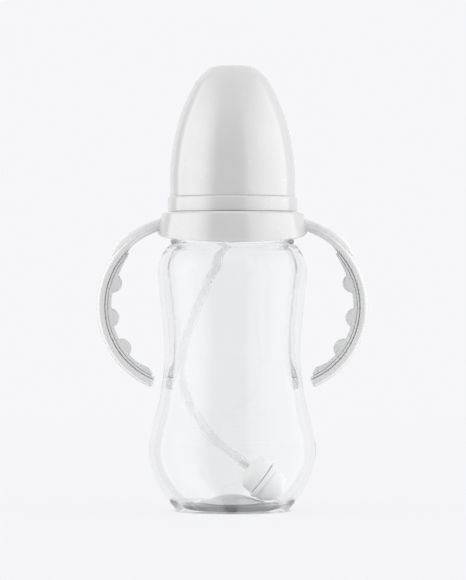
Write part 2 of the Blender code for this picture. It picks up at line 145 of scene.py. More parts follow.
# The straw's hose: the CAD route, and its wall.
HOSE_R = 2.0
HOSE_BORE_R = 1.3
HOSE_ROUTE = (
    (0.0, 127.0),
    (0.0, 125.0),
    (0.0, 123.0),
    (-0.36, 120.1),
    (-1.82, 116.6),
    (-2.95, 114.3),
    (-6.0, 107.0),
    (-9.9, 98.5),
    (-13.9, 90.0),
    (-17.3, 81.5),
    (-19.9, 74.0),
    (-21.4, 67.0),
    (-21.8, 60.5),
    (-21.0, 54.0),
    (-18.8, 46.6),
    (-15.2, 39.6),
    (-9.9, 32.7),
    (-4.5, 27.6),
    (-0.2, 23.9),
    (3.0, 21.3),
    (6.5, 18.45),
)
WEIGHT_TOP = Vector((6.8, 0.0, 18.2))
WEIGHT_AXIS = Vector((0.777, 0.0, -0.63)).normalized()


# ---------------------------------------------------------------- outlines


def smoothed(points, steps=CURVE_STEPS):
    """A Catmull-Rom curve through the points, with steps pieces between two."""
    knots = [Vector(p) for p in points]
    knots.insert(0, 2 * knots[0] - knots[1])
    knots.append(2 * knots[-1] - knots[-2])
    curve = []
    for a, b, c, d in zip(knots, knots[1:], knots[2:], knots[3:]):
        for i in range(steps):
            t = i / steps
            bend = (2 * a - 5 * b + 4 * c - d) * t**2 + (3 * b - a - 3 * c + d) * t**3
            curve.append(0.5 * (2 * b + (c - a) * t + bend))
    curve.append(knots[-2])
    return [tuple(p) for p in curve]


def moved_inward(points, distance):
    """An open (r, z) curve moved to its left by the distance."""
    moved = []
    for i, point in enumerate(points):
        before = Vector(points[max(i - 1, 0)])
        after = Vector(points[min(i + 1, len(points) - 1)])
        along = (after - before).normalized()
        moved.append((point[0] - along.y * distance, point[1] + along.x * distance))
    return moved


def rounded(corners, steps=5):
    """The closed outline of (a, b, radius) corners, each turned into an arc of its radius."""
    outline = []
    for i, (a, b, radius) in enumerate(corners):
        here = Vector((a, b))
        if radius <= 0.0:
            outline.append((a, b))
            continue
        before = Vector(corners[i - 1][:2]) - here
        after = Vector(corners[(i + 1) % len(corners)][:2]) - here
        half = before.angle(after) / 2
        reach = min(radius / math.tan(half), 0.49 * before.length, 0.49 * after.length)
        middle = (before.normalized() + after.normalized()).normalized()
        centre = here + middle * (reach / math.cos(half))
        start = here + before.normalized() * reach - centre
        end = here + after.normalized() * reach - centre
        sweep = math.atan2(start.x * end.y - start.y * end.x, start.dot(end))
        for k in range(steps + 1):
            turn = sweep * k / steps
            cosine, sine = math.cos(turn), math.sin(turn)
            x = centre.x + start.x * cosine - start.y * sine
            y = centre.y + start.x * sine + start.y * cosine
            outline.append((x, y))
    return outline


def arc(centre_r, centre_z, radius, start, end, steps=10):
    """Points along an arc from the start angle to the end angle, in degrees."""
    turns = [math.radians(start + (end - start) * i / steps) for i in range(steps + 1)]
    return [(centre_r + radius * math.cos(t), centre_z + radius * math.sin(t)) for t in turns]


def between(share, low, high):
    """0 below low, 1 above high and a smooth step between them."""
    t = min(1.0, max(0.0, (share - low) / (high - low)))
    return t * t * (3 - 2 * t)


def interpolated(table, at):
    """The value at a place in a table of (place, value) rows, on straight lines between them."""
    for (a, low), (b, high) in zip(table, table[1:]):
        if at <= b:
            return low + (high - low) * max(0.0, at - a) / (b - a)
    return table[-1][1]


# ---------------------------------------------------------------- meshes


def finished(name, shape, look, sharp=38.0):
    """Makes an object of a bmesh in millimetres, shaded smooth but for its sharp edges."""
    bmesh.ops.remove_doubles(shape, verts=shape.verts, dist=0.0005)
    bmesh.ops.scale(shape, vec=(MM, MM, MM), verts=shape.verts)
    bmesh.ops.recalc_face_normals(shape, faces=shape.faces)
    mesh = bpy.data.meshes.new(name)
    shape.to_mesh(mesh)
    shape.free()
    mesh.materials.append(look)
    mesh.shade_smooth()
    mesh.set_sharp_from_angle(angle=math.radians(sharp))
    made = bpy.data.objects.new(name, mesh)
    bpy.context.scene.collection.objects.link(made)
    return made


def lathe(name, outline, look, facets=FACETS, place=None, height=None, ridge=None):
    """Turns a closed (r, z) outline round Z. height(angle, z) may move a point up or down, and
    ridge(angle, r, z) out or in."""
    shape = bmesh.new()
    rings = []
    for r, z in outline:
        if r < 1e-6:
            rings.append([shape.verts.new((0.0, 0.0, z))] * facets)
            continue
        ring = []
        for i in range(facets):
            angle = math.tau * i / facets
            here = height(angle, z) if height else z
            reach = r + ridge(angle, r, z) if ridge else r
            ring.append(shape.verts.new((reach * math.cos(angle), reach * math.sin(angle), here)))
        rings.append(ring)
    for low, high in zip(rings, rings[1:] + rings[:1]):
        for i in range(facets):
            j = (i + 1) % facets
            face = list(dict.fromkeys([low[i], low[j], high[j], high[i]]))
            if len(face) > 2:
                shape.faces.new(face)
    if place:
        shape.transform(place)
    return finished(name, shape, look)


def on_handle(side, radius, degrees):
    """The (x, z) place at a radius and an angle round the handle's centre."""
    turn = math.radians(degrees)
    return side * (HANDLE_U + radius * math.cos(turn)), HANDLE_Z + radius * math.sin(turn)


def swept(name, side, section, degrees, look):
    """Sweeps section(d), a closed list of (radius, y), round the handle's centre."""
    shape = bmesh.new()
    rows = []
    for d in degrees:
        row = []
        for radius, y in section(d):
            x, z = on_handle(side, radius, d)
            row.append(shape.verts.new((x, y, z)))
        rows.append(row)
    for row, following in zip(rows, rows[1:]):
        for k in range(len(row)):
            m = (k + 1) % len(row)
            shape.faces.new((row[k], row[m], following[m], following[k]))
    shape.faces.new(rows[0])
    shape.faces.new(list(reversed(rows[-1])))
    return finished(name, shape, look, 30.0)


def pillow(name, outline, half, look, steps=5):
    """A slab on the XZ plane with rounded rims. outline holds (x, z, rim radius)."""
    points = [Vector((x, z)) for x, z, _ in outline]
    area = sum(a.x * b.y - a.y * b.x for a, b in zip(points, points[1:] + points[:1]))
    facing = 1.0 if area > 0 else -1.0
    inward = []
    for i, here in enumerate(points):
        along = (here - points[i - 1]).normalized()
        onward = (points[(i + 1) % len(points)] - here).normalized()
        bisector = Vector((-(along.y + onward.y), along.x + onward.x)).normalized()
        mitre = max(0.5, bisector.dot(Vector((-along.y, along.x))))
        inward.append(bisector * facing / mitre)
    shape = bmesh.new()
    rings = []
    for end in (-1, 1):
        order = range(steps + 1) if end < 0 else range(steps, -1, -1)
        for k in order:
            turn = math.pi / 2 * k / steps
            ring = []
            for here, way, (_, _, rim) in zip(points, inward, outline):
                place = here + way * rim * (1 - math.sin(turn))
                y = end * (half - rim * (1 - math.cos(turn)))
                ring.append(shape.verts.new((place.x, y, place.y)))
            rings.append(ring)
    for low, high in zip(rings, rings[1:]):
        for i in range(len(low)):
            j = (i + 1) % len(low)
            shape.faces.new((low[i], low[j], high[j], high[i]))
    shape.faces.new(list(reversed(rings[0])))
    shape.faces.new(rings[-1])
    return finished(name, shape, look, 30.0)


def cut(target, tool, sharp=30.0):
    """Takes the tool's space out of the target, and removes the tool."""
    step = target.modifiers.new("cut", "BOOLEAN")
    step.operation = "DIFFERENCE"
    step.solver = "EXACT"
    step.object = tool
    graph = bpy.context.evaluated_depsgraph_get()
    mesh = bpy.data.meshes.new_from_object(target.evaluated_get(graph))
    target.modifiers.clear()
    target.data = mesh
    mesh.shade_smooth()
    mesh.set_sharp_from_angle(angle=math.radians(sharp))
    bpy.data.objects.remove(tool)


# ---------------------------------------------------------------- materials


def new_material(name):
    made = bpy.data.materials.new(name)
    made.use_nodes = True
    tree = made.node_tree
    return made, tree, tree.nodes["Principled BSDF"]


def texture_place(tree):
    return tree.nodes.new("ShaderNodeTexCoord").outputs["Object"]


def noise(tree, scale, detail=3.0, stretch=None):
    """Noise in the object's own space, so many waves to the metre, finer along some axes."""
    node = tree.nodes.new("ShaderNodeTexNoise")
    node.inputs["Scale"].default_value = scale
    node.inputs["Detail"].default_value = detail
    place = texture_place(tree)
    if stretch:
        mapping = tree.nodes.new("ShaderNodeMapping")
        mapping.inputs["Scale"].default_value = stretch
        tree.links.new(place, mapping.inputs["Vector"])
        place = mapping.outputs["Vector"]
    tree.links.new(place, node.inputs["Vector"])
    return node.outputs["Fac"]


def ranged(tree, value, low, high):
    """The value, which runs over the middle of 0 to 1, spread from low to high."""
    node = tree.nodes.new("ShaderNodeMapRange")
    node.inputs["From Min"].default_value = 0.3
    node.inputs["From Max"].default_value = 0.7
    node.inputs["To Min"].default_value = low
    node.inputs["To Max"].default_value = high
    tree.links.new(value, node.inputs["Value"])
    return node.outputs["Result"]


def mottled(tree, shader, value, first, second):
    """The base colour varies between two tones with the value."""
    node = tree.nodes.new("ShaderNodeMix")
    node.data_type = "RGBA"
    node.inputs["A"].default_value = (*first, 1.0)
    node.inputs["B"].default_value = (*second, 1.0)
    tree.links.new(ranged(tree, value, 0.0, 1.0), node.inputs["Factor"])
    tree.links.new(node.outputs["Result"], shader.inputs["Base Color"])


def bumped(tree, shader, value, depth, strength=1.0):
    """Raises the surface with the value, by depth metres at most."""
    node = tree.nodes.new("ShaderNodeBump")
    node.inputs["Strength"].default_value = strength
    node.inputs["Distance"].default_value = depth
    tree.links.new(value, node.inputs["Height"])
    tree.links.new(node.outputs["Normal"], shader.inputs["Normal"])


def white_plastic(name, first, second, ripple):
    """Glossy moulded polypropylene: cloudy tone, uneven polish, and a faint orange peel whose
    depth is ripple, in metres. The arms have none, because their roundings are too small."""
    made, tree, shader = new_material(name)
    shader.inputs["IOR"].default_value = 1.5
    shader.inputs["Coat Weight"].default_value = 1.0
    shader.inputs["Coat Roughness"].default_value = 0.09
    shader.inputs["Coat IOR"].default_value = 1.55
    mottled(tree, shader, noise(tree, 55.0), first, second)
    roughness = ranged(tree, noise(tree, 140.0), 0.2, 0.28)
    tree.links.new(roughness, shader.inputs["Roughness"])
    if ripple:
        bumped(tree, shader, noise(tree, 90.0, 1.0), ripple)
    return made


def rubber(name, first, second, roughness):
    """Satin thermoplastic rubber: an even, very fine spark-eroded grain and a soft sheen."""
    made, tree, shader = new_material(name)
    shader.inputs["IOR"].default_value = 1.5
    shader.inputs["Sheen Weight"].default_value = 0.12
    shader.inputs["Sheen Roughness"].default_value = 0.4
    mottled(tree, shader, noise(tree, 240.0), first, second)
    uneven = ranged(tree, noise(tree, 700.0), roughness - 0.05, roughness + 0.06)
    tree.links.new(uneven, shader.inputs["Roughness"])
    bumped(tree, shader, noise(tree, 3600.0, 3.0), 0.00002)
    return made


def let_light_in(tree, shader, tint):
    """Lets shadow and diffuse rays pass, so that what stands inside or behind is lit."""
    path = tree.nodes.new("ShaderNodeLightPath")
    clear = tree.nodes.new("ShaderNodeBsdfTransparent")
    clear.inputs["Color"].default_value = (*tint, 1.0)
    surface = shader.outputs["BSDF"]
    for ray in ("Is Shadow Ray", "Is Diffuse Ray"):
        mix = tree.nodes.new("ShaderNodeMixShader")
        tree.links.new(path.outputs[ray], mix.inputs["Fac"])
        tree.links.new(surface, mix.inputs[1])
        tree.links.new(clear.outputs["BSDF"], mix.inputs[2])
        surface = mix.outputs["Shader"]
    tree.links.new(surface, tree.nodes["Material Output"].inputs["Surface"])


def clear_glass():
    """Polished clear glass that lets light through to what stands behind and under it."""
    made, tree, shader = new_material("bottle_glass")
    shader.inputs["Transmission Weight"].default_value = 1.0
    shader.inputs["IOR"].default_value = 1.5
    shader.inputs["Roughness"].default_value = 0.0
    mottled(tree, shader, noise(tree, 30.0), (0.94, 0.943, 0.943), (0.955, 0.957, 0.957))
    bumped(tree, shader, noise(tree, 45.0, 1.0, (1.0, 1.0, 0.5)), 0.00002)
    let_light_in(tree, shader, (0.96, 0.965, 0.965))
    return made


def painted_base_shade_material():
    """Painted shade: the grey that the middle of the bottle's thick floor shows. It isn't a real
    material.
    """
    made, tree, shader = new_material("bottle_painted_shade_grey")
    shader.inputs["IOR"].default_value = 1.5
    mottled(tree, shader, noise(tree, 900.0), (0.5, 0.5, 0.505), (0.58, 0.58, 0.585))
    tree.links.new(ranged(tree, noise(tree, 1300.0), 0.45, 0.6), shader.inputs["Roughness"])
    bumped(tree, shader, noise(tree, 2600.0, 3.0), 0.00005)
    return made


def silicone(name, colour, transmission, roughness, depth, index=1.41):
    """Milky silicone rubber, which light goes some way into."""
    made, tree, shader = new_material(name)
    shader.inputs["IOR"].default_value = index
    shader.inputs["Transmission Weight"].default_value = transmission
    shader.inputs["Subsurface Weight"].default_value = 0.35
    shader.inputs["Subsurface Radius"].default_value = (0.004, 0.0038, 0.0035)
    shader.inputs["Subsurface Scale"].default_value = 0.6
    pale = tuple(c * 0.97 for c in colour)
    mottled(tree, shader, noise(tree, 120.0), pale, colour)
    uneven = ranged(tree, noise(tree, 500.0), 0.8 * roughness, 1.2 * roughness)
    tree.links.new(uneven, shader.inputs["Roughness"])
    bumped(tree, shader, noise(tree, 600.0, 2.0), depth)
    return made


def hose_rubber():
    """The hose's thin, clear silicone. Its low index keeps its edges soft inside the glass."""
    made = silicone("hose_silicone", (0.96, 0.96, 0.96), 0.9, 0.06, 0.000001, 1.12)
    tree = made.node_tree
    let_light_in(tree, tree.nodes["Principled BSDF"], (0.92, 0.92, 0.92))
    return made


def shell_plastic():
    """White polypropylene of the weight and the adaptor, slightly translucent."""
    made, tree, shader = new_material("weight_shell")
    shader.inputs["IOR"].default_value = 1.12
    shader.inputs["Transmission Weight"].default_value = 0.2
    mottled(tree, shader, noise(tree, 160.0), (0.98, 0.98, 0.98), (0.995, 0.995, 0.995))
    tree.links.new(ranged(tree, noise(tree, 600.0), 0.06, 0.09), shader.inputs["Roughness"])
    bumped(tree, shader, noise(tree, 500.0, 2.0), 0.000001)
    return made


def turned_steel():
    """Stainless steel with the fine rings that a lathe leaves."""
    made, tree, shader = new_material("weight_steel")
    shader.inputs["Metallic"].default_value = 1.0
    rings = noise(tree, 400.0, 2.0, (0.05, 0.05, 9.0))
    mottled(tree, shader, rings, (0.56, 0.56, 0.57), (0.68, 0.68, 0.69))
    tree.links.new(ranged(tree, rings, 0.22, 0.36), shader.inputs["Roughness"])
    bumped(tree, shader, rings, 0.00001)
    return made


# ---------------------------------------------------------------- pieces

RECORD = frame["record"]
BODY_OF = {n: body for body, nodes in RECORD["behaviour"]["bodies"].items() for n in nodes}


def stand_for(piece, node):
    """The piece takes a CAD node's place: it rides on its body, and the node is hidden."""
    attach(piece, BODY_OF[node])
    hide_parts(node)
    return piece


def thread_height(angle, z, start, first_turn):
    """How far the thread's ridge stands up at a place on its cylinder, from 0 to 1."""
    found = 0.0
    for whole in range(-1, 3):
        turns = angle / math.tau + whole
        along = turns - first_turn
        if not 0.0 <= along <= TURNS:
            continue
        away = abs(z - start - PITCH * turns)
        crest = 1.0 - between(away, RIDGE_HALF_CREST, RIDGE_HALF_ROOT)
        ends = between(along, 0.0, RIDGE_FADE) * between(TURNS - along, 0.0, RIDGE_FADE)
        found = max(found, crest * ends)
    return found


def threaded_rows(radius, low, high, step=0.2):
    """A straight wall with points close enough together to carry the thread's ridge."""
    count = round((high - low) / step)
    return [(radius, low + (high - low) * i / count) for i in range(count + 1)]


def punt_curve():
    """The hollow under the bottle, from its middle to its rim."""
    shares = [i / 14 for i in range(15)]
    return [(PUNT_R * s, PUNT_HEIGHT * (1 - s**2) ** 1.15) for s in shares]


def inside_curve():
    """The bottle's inside from under its neck to the middle of its domed floor."""
    return smoothed(
        (
            (NECK_BORE_R, 114.9),
            (21.2, 113.6),
            (23.2, 112.2),
            (25.3, 109.8),
            (26.8, 106.4),
            (27.6, 101.6),
            (27.2, 96.6),
            (26.7, 90.6),
            (25.5, 78.5),
            (25.1, 64.0),
            (27.0, 47.8),
            (30.3, 34.6),
            (31.7, 25.9),
            (29.7, 17.0),
            (25.3, 9.0),
            (20.3, 3.9),
            (15.8, 2.6),
            (11.5, 4.2),
            (6.0, 6.7),
            (0.0, 7.5),
        )
    )


def make_bottle(look):
    """The clear body: waisted outside, evenly thick wall, domed floor and threaded neck."""
    foot_r = 23.9
    outside = smoothed(
        (
            (foot_r, 0.12),
            (26.3, 3.2),
            (31.0, 9.8),
            (34.4, 17.4),
            (35.7, 25.9),
            (34.3, 35.3),
            (31.0, 48.0),
            (29.0, 64.4),
            (29.6, 78.5),
            (31.0, 91.8),
            (31.75, 101.6),
            (30.9, 107.4),
            (27.6, 113.2),
        )
    )
    bead_r, bead_low, bead_z = 26.4, 114.7, 116.1
    rounding, rim = 0.75, 0.6
    bead = arc(bead_r - rounding, bead_low, rounding, -60, 0, 4)
    bead += arc(bead_r - rounding, bead_z - rounding, rounding, 0, 90, 5)
    neck = [(NECK_R + 0.35, bead_z), (NECK_R + 0.1, bead_z + 0.1)]
    neck += threaded_rows(NECK_R, bead_z + 0.35, NECK_TOP - rim)
    neck += arc(NECK_R - rim, NECK_TOP - rim, rim, 15, 90, 4)
    neck += arc(NECK_BORE_R + rim, NECK_TOP - rim, rim, 90, 180, 5)
    inside = inside_curve()
    outline = [*punt_curve()[:-1], (PUNT_R + 0.35, 0.03), (PUNT_R + 1.0, 0.0), (foot_r - 1.0, 0.0)]
    outline += [*outside, *bead, *neck, *inside[:-1], (0.0, inside[-1][1])]

    def neck_ridge(angle, r, z):
        if abs(r - NECK_R) > 0.001 or z < bead_z:
            return 0.0
        return THREAD_DEPTH * thread_height(angle, z, NECK_THREAD_START, 0.0)

    return lathe("bottle_body_glass", outline, look, ridge=neck_ridge)


def make_painted_base_shade(look):
    """Painted shade: a grey body inside the thick glass floor, in place of the shade seen through
    it.
    """
    reach, gap = 14.3, 0.15
    over = [(r, z - gap) for r, z in reversed(inside_curve()) if r < reach]
    under = [(r, z + gap) for r, z in reversed(punt_curve()) if r < reach]
    return lathe("bottle_base_painted_shade", over + under, look, SMALL_FACETS)


def make_collar(look):
    band_r, skirt_r, hole_r, lip_r = 27.7, 26.9, 18.6, 24.6
    plate = BAND_TOP - 1.5
    lip_inner_r = lip_r - 1.6
    corners = [
        (COLLAR_BORE_R, SKIRT_BOTTOM, 0.3),
        (skirt_r, SKIRT_BOTTOM, 0.3),
        (skirt_r, BAND_BOTTOM, 0.0),
        (band_r, BAND_BOTTOM, 0.45),
        (band_r, BAND_TOP, 0.85),
        (lip_r, BAND_TOP, 0.2),
        (lip_r, LIP_TOP - 1.7, 0.3),
        (lip_r + 0.3, LIP_TOP - 1.1, 0.3),
        (lip_r, LIP_TOP - 0.5, 0.2),
        (lip_r - 0.5, LIP_TOP, 0.25),
        (lip_inner_r, LIP_TOP, 0.3),
        (lip_inner_r, BAND_TOP, 0.3),
        (hole_r, BAND_TOP, 0.45),
        (hole_r, plate, 0.2),
        (COLLAR_BORE_R, plate, 0.3),
    ]
    outline = rounded(corners)
    outline += list(reversed(threaded_rows(COLLAR_BORE_R, SKIRT_BOTTOM + 0.6, plate - 0.6)))

    def collar_ridge(angle, r, z):
        if abs(r - COLLAR_BORE_R) > 0.001 or z > plate - 0.5:
            return 0.0
        start, first = COLLAR_THREAD_START, COLLAR_FIRST_TURN
        return -THREAD_DEPTH * thread_height(angle, z, start, first)

    return lathe("screw_collar_shell", outline, look, ridge=collar_ridge)


def ring_height(angle, z):
    """The ring's lower edge drops towards its front and back."""
    drop = 4.1 * abs(math.sin(angle))
    return z - drop * (1.0 - between(z, 119.4, 124.5))


def ring_side(gap=0.0):
    """The handle ring's flared side and rounded shoulder, or a line a gap outside it."""
    side = smoothed(((31.7 + gap, 119.8), (31.2 + gap, 122.4), (30.6 + gap, 125.0)), 5)
    return side + arc(28.95, 125.9, 1.5 + gap, 5, 90, 9)


def make_handle_ring(look):
    bore_r, bottom = 27.2, 118.5
    outline = [(bore_r, bottom + 0.3), (bore_r + 0.3, bottom)]
    outline += [(31.3, bottom), (31.75, bottom), (31.97, 118.65), (32.0, 118.9), (31.87, 119.25)]
    outline += [(r, min(z, RING_TOP)) for r, z in ring_side()]
    outline += [(bore_r + 0.3, RING_TOP), (bore_r, RING_TOP - 0.3)]
    return lathe("handle_ring_shell", outline, look, height=ring_height)


def ring_space(look):
    """The ring's own space with a hairline gap round it, for what stands against it."""
    gap = 0.04
    outer_r, above = 32.0 + gap, 132.0
    profile = [(0.0, 112.0), (outer_r, 112.0), (outer_r, 119.2), *ring_side(gap)]
    profile += [(28.6, above), (0.0, above)]
    return lathe("ring_space", profile, look, CUTTER_FACETS)


def lip_share(degrees):
    """How far the lip under the arm has grown out: none at the root, full from 36 degrees on."""
    return 1.0 - between(degrees, 36.0, 52.0)


def root_taper(degrees):
    """The handle narrows towards its root, where it meets the ring's side."""
    return 1.0 - 0.48 * between(degrees, 48.0, 73.0)


def arm_section(degrees, shrink):
    """The arm's section: crowned outside, rounded flanks, a groove, the lip and its channel."""
    lip = lip_share(degrees)
    edge = 0.25 * lip + 1.1 * (1.0 - lip)
    channel = between(degrees, -62.5, -61.0) * (1.0 - between(degrees, 33.0, 35.0))
    half = [(ARM_R, 0.0), (ARM_R - 0.03, 2.0), (ARM_R - 0.12, 4.0)]
    for k in range(8):
        turn = math.radians(80.0 * (1 - k / 7))
        r = ARM_R - 0.2 - ARM_ROUNDING * (1 - math.sin(turn))
        half.append((r, ARM_HALF - ARM_ROUNDING * (1 - math.cos(turn))))
    for k in range(4):
        turn = math.pi / 2 * k / 3
        r = GROOVE_R + edge * (1 - math.sin(turn))
        half.append((r, ARM_HALF - edge * (1 - math.cos(turn))))
    for r, y, plain_y in LIP_SECTION:
        half.append((GROOVE_R - lip * r, plain_y + lip * (y - plain_y)))
    floor = GROOVE_R - lip * LIP_DEPTH
    half.append((floor + TONGUE_DEPTH * channel, TONGUE_HALF))
    whole = half + [(r, -y) for r, y in reversed(half[1:])]
    middle_r = (ARM_R + floor) / 2
    width = shrink * root_taper(degrees)
    return [(middle_r + (r - middle_r) * shrink, y * width) for r, y in whole]


def arm_ends(degrees):
    """The section draws in over the last millimetre, which rounds the arm's tip."""
    tip, reach = -67.9, 1.5
    left = min(1.0, max(0.0, (degrees - tip) / reach))
    return 0.72 + 0.28 * math.sqrt(1.0 - (1.0 - left) ** 2)


def make_arm(side, hand, look):
    stops = [82.0 - 1.25 * i for i in range(119)]
    stops = [d for d in stops if d > -65.8] + [-66.2, -66.6, -67.0, -67.3, -67.6, -67.8, -67.9]
    arm = swept(
        f"handle_arm_{hand}_shell", side, lambda d: arm_section(d, arm_ends(d)), stops, look
    )
    cut(arm, ring_space(look))
    return arm


def grip_inner_radius(degrees):
    """The grip's inner face: level, with three finger bumps and a wedge at its lower end."""
    ends = ((-64.8, 31.9), (-61.0, 30.6), (-59.5, 30.3), (-54.5, 30.8), (-49.0, GRIP_INNER_R))
    top = ((28.0, GRIP_INNER_R), (34.0, 31.7), (41.0, 32.3), (47.0, 33.0))
    if degrees > 28.0:
        level_r = interpolated(top, degrees)
    elif degrees < -49.0:
        level_r = interpolated(ends, degrees)
    else:
        level_r = GRIP_INNER_R
    total = math.exp(-level_r / BUMP_BLEND)
    for middle in BUMP_DEGREES:
        away = math.radians(degrees - middle)
        inside = BUMP_R**2 - (BUMP_CENTRE_R * math.sin(away)) ** 2
        if abs(away) < 0.5 and inside > 0.0:
            crest = BUMP_CENTRE_R * math.cos(away) - math.sqrt(inside)
            total += math.exp(-crest / BUMP_BLEND)
    return -BUMP_BLEND * math.log(total)


def grip_rim(degrees):
    """The radius of the grip's rounded inner rim: wide on the bumps and small at both ends."""
    full = min(1.25, 0.72 * (GRIP_BACK_R - grip_inner_radius(degrees)))
    ends = between(degrees, -58.0, -46.0) * (1.0 - between(degrees, 27.0, 38.0))
    return 0.05 + (full - 0.05) * ends


def make_grip(side, hand, look):
    top, bottom, step = 43.6, -64.4, 0.4
    count = round((top - bottom) / step)
    outline = []
    for i in range(count + 1):
        d = top - step * i
        outline.append((*on_handle(side, grip_inner_radius(d), d), grip_rim(d)))
    outline.append((*on_handle(side, GRIP_BACK_R, -64.8), 0.08))
    back = 60
    for i in range(back + 1):
        d = -63.0 + (top + 63.0) * i / back
        raised = max(0.0, d - 37.0) * 0.075
        rim = 0.08 if d < 36.0 else 0.04
        outline.append((*on_handle(side, GRIP_BACK_R + raised, d), rim))
    return pillow(f"grip_insert_{hand}_rubber", outline, GRIP_HALF, look)


def arm_crown(y):
    """The arm's outer radius at a distance from its middle plane."""
    side = max(0.0, y - (ARM_HALF - ARM_ROUNDING))
    flat = ARM_R - 0.2 * min(1.0, (y / (ARM_HALF - ARM_ROUNDING)) ** 2)
    return flat - (ARM_ROUNDING - math.sqrt(ARM_ROUNDING**2 - side**2))


def pad_section(degrees):
    """The thumb pad's section: crowned, and lying on the arm down to its rounded flanks."""
    top = interpolated(PAD_CROWN, degrees)
    half_width = PAD_HALF - 1.4 * (1.0 - between(degrees, 35.0, 41.0))
    foot = arm_crown(half_width) + PAD_GAP
    rounding = min(1.25, 0.6 * (top - foot))
    half = [(top, 0.0), (top - 0.02, 1.6), (top - 0.06, 3.0)]
    for k in range(8):
        turn = math.radians(84.0 * (1 - k / 7))
        r = top - 0.1 - rounding * (1 - math.sin(turn))
        half.append((r, half_width - rounding * (1 - math.cos(turn))))
    for k in range(9):
        y = half_width * (1 - k / 8)
        half.append((arm_crown(y) + PAD_GAP, y))
    width = root_taper(degrees)
    whole = half + [(r, -y) for r, y in reversed(half[1:-1])]
    return [(r, y * width) for r, y in whole]


def make_pad(side, hand, look):
    stops = [35.0 + 0.5 * i for i in range(16)] + [43.5 + 1.25 * i for i in range(31)]
    pad = swept(f"thumb_pad_{hand}_rubber", side, pad_section, stops, look)
    cut(pad, ring_space(look))
    return pad


def make_cap(look):
    """The domed travel cap, a thin shell that stands on the collar's plate."""
    wall, foot_r, rounding = 1.6, 26.84, 0.25
    knots = (
        (foot_r, CAP_BOTTOM),
        (26.7, 146.0),
        (24.8, 159.3),
        (21.5, 171.0),
        (16.5, 181.9),
        (13.2, 186.2),
        (9.6, 189.2),
        (6.4, CAP_TOP),
    )
    outside = smoothed(knots, 8)
    inner = moved_inward(outside, wall)
    inner_top = CAP_TOP - wall
    inner = [(r, min(z, inner_top)) for r, z in inner[1:] if r > 1.0]
    foot = arc(foot_r - rounding, CAP_BOTTOM + rounding, rounding, -90, 0, 4)
    outline = [*foot, *outside[1:], (3.0, CAP_TOP), (0.0, CAP_TOP), (0.0, inner_top)]
    outline += [(2.5, inner_top), *reversed(inner)]
    inside_r = foot_r - wall
    outline += [(inside_r, CAP_BOTTOM + rounding), (inside_r + rounding, CAP_BOTTOM)]
    return lathe("travel_cap_shell", outline, look)


def make_teat(look):
    """The silicone teat: a flange that the collar clamps, a soft shoulder and the nipple."""
    wall, flange_r = 1.7, 22.4
    shoulder = FLANGE_BOTTOM + 1.6
    knots = (
        (18.2, shoulder),
        (18.2, 137.0),
        (16.9, 143.0),
        (13.4, 149.0),
        (8.9, 154.0),
        (6.5, 159.0),
        (6.0, 165.0),
        (6.5, 170.5),
        (5.6, 175.5),
        (2.6, 178.2),
    )
    outside = smoothed(knots, 6)
    inside = list(reversed(moved_inward(outside, wall)))
    tip = [(1.4, 178.45), (0.55, 178.5), (0.4, 178.35), (0.4, inside[0][1])]
    flange = [(flange_r - 0.3, FLANGE_BOTTOM), (flange_r, FLANGE_BOTTOM + 0.3)]
    flange += [(flange_r, shoulder - 0.3), (flange_r - 0.3, shoulder), (18.6, shoulder)]
    start = (inside[-1][0], FLANGE_BOTTOM)
    outline = [start, *flange, (18.3, shoulder + 0.15), *outside[1:], *tip, *inside[:-1]]
    teat = lathe("teat_silicone_body", outline, look, SMALL_FACETS)
    vent = [(0.0, -1.0), (0.6, -1.0), (0.6, 3.0), (0.0, 3.0)]
    place = Matrix.Translation((0.0, 20.4, FLANGE_BOTTOM))
    cut(teat, lathe("vent_tool", vent, look, 24, place))
    return teat


def make_adaptor(look):
    """The straw adaptor: a rim on the neck, a plug in its bore and a barbed spigot."""
    rim_bottom = SEAL_TOP + 0.3
    rim_r, plug_r, bore_r, barb_r = 22.4, 20.4, 0.5, 1.0
    boss_top = rim_bottom - 1.4
    corners = [
        (bore_r, PLUG_BOTTOM, 0.0),
        (barb_r - 0.2, PLUG_BOTTOM, 0.1),
        (barb_r, PLUG_BOTTOM + 0.6, 0.1),
        (barb_r, boss_top, 0.3),
        (3.0, boss_top, 0.4),
        (3.4, rim_bottom, 0.5),
        (plug_r - 1.4, rim_bottom, 0.5),
        (plug_r - 1.4, rim_bottom - 4.6, 0.3),
        (plug_r - 0.4, rim_bottom - 4.6, 0.3),
        (plug_r, rim_bottom - 3.6, 0.4),
        (plug_r, rim_bottom, 0.2),
        (rim_r, rim_bottom, 0.3),
        (rim_r, rim_bottom + 1.5, 0.3),
        (2.2, rim_bottom + 1.5, 0.3),
        (bore_r, boss_top + 1.0, 0.2),
    ]
    adaptor = lathe("straw_adaptor_moulding", rounded(corners), look, SMALL_FACETS)
    vent = [(0.0, -1.0), (1.0, -1.0), (1.0, 3.0), (0.0, 3.0)]
    place = Matrix.Translation((0.0, 14.0, rim_bottom))
    cut(adaptor, lathe("vent_tool", vent, look, 32, place))
    return adaptor


def make_seal(look):
    corners = [
        (21.1, SEAL_BOTTOM, 0.4),
        (23.7, SEAL_BOTTOM, 0.4),
        (23.7, SEAL_TOP, 0.4),
        (21.1, SEAL_TOP, 0.4),
    ]
    return lathe("adaptor_seal_ring", rounded(corners), look, SMALL_FACETS)


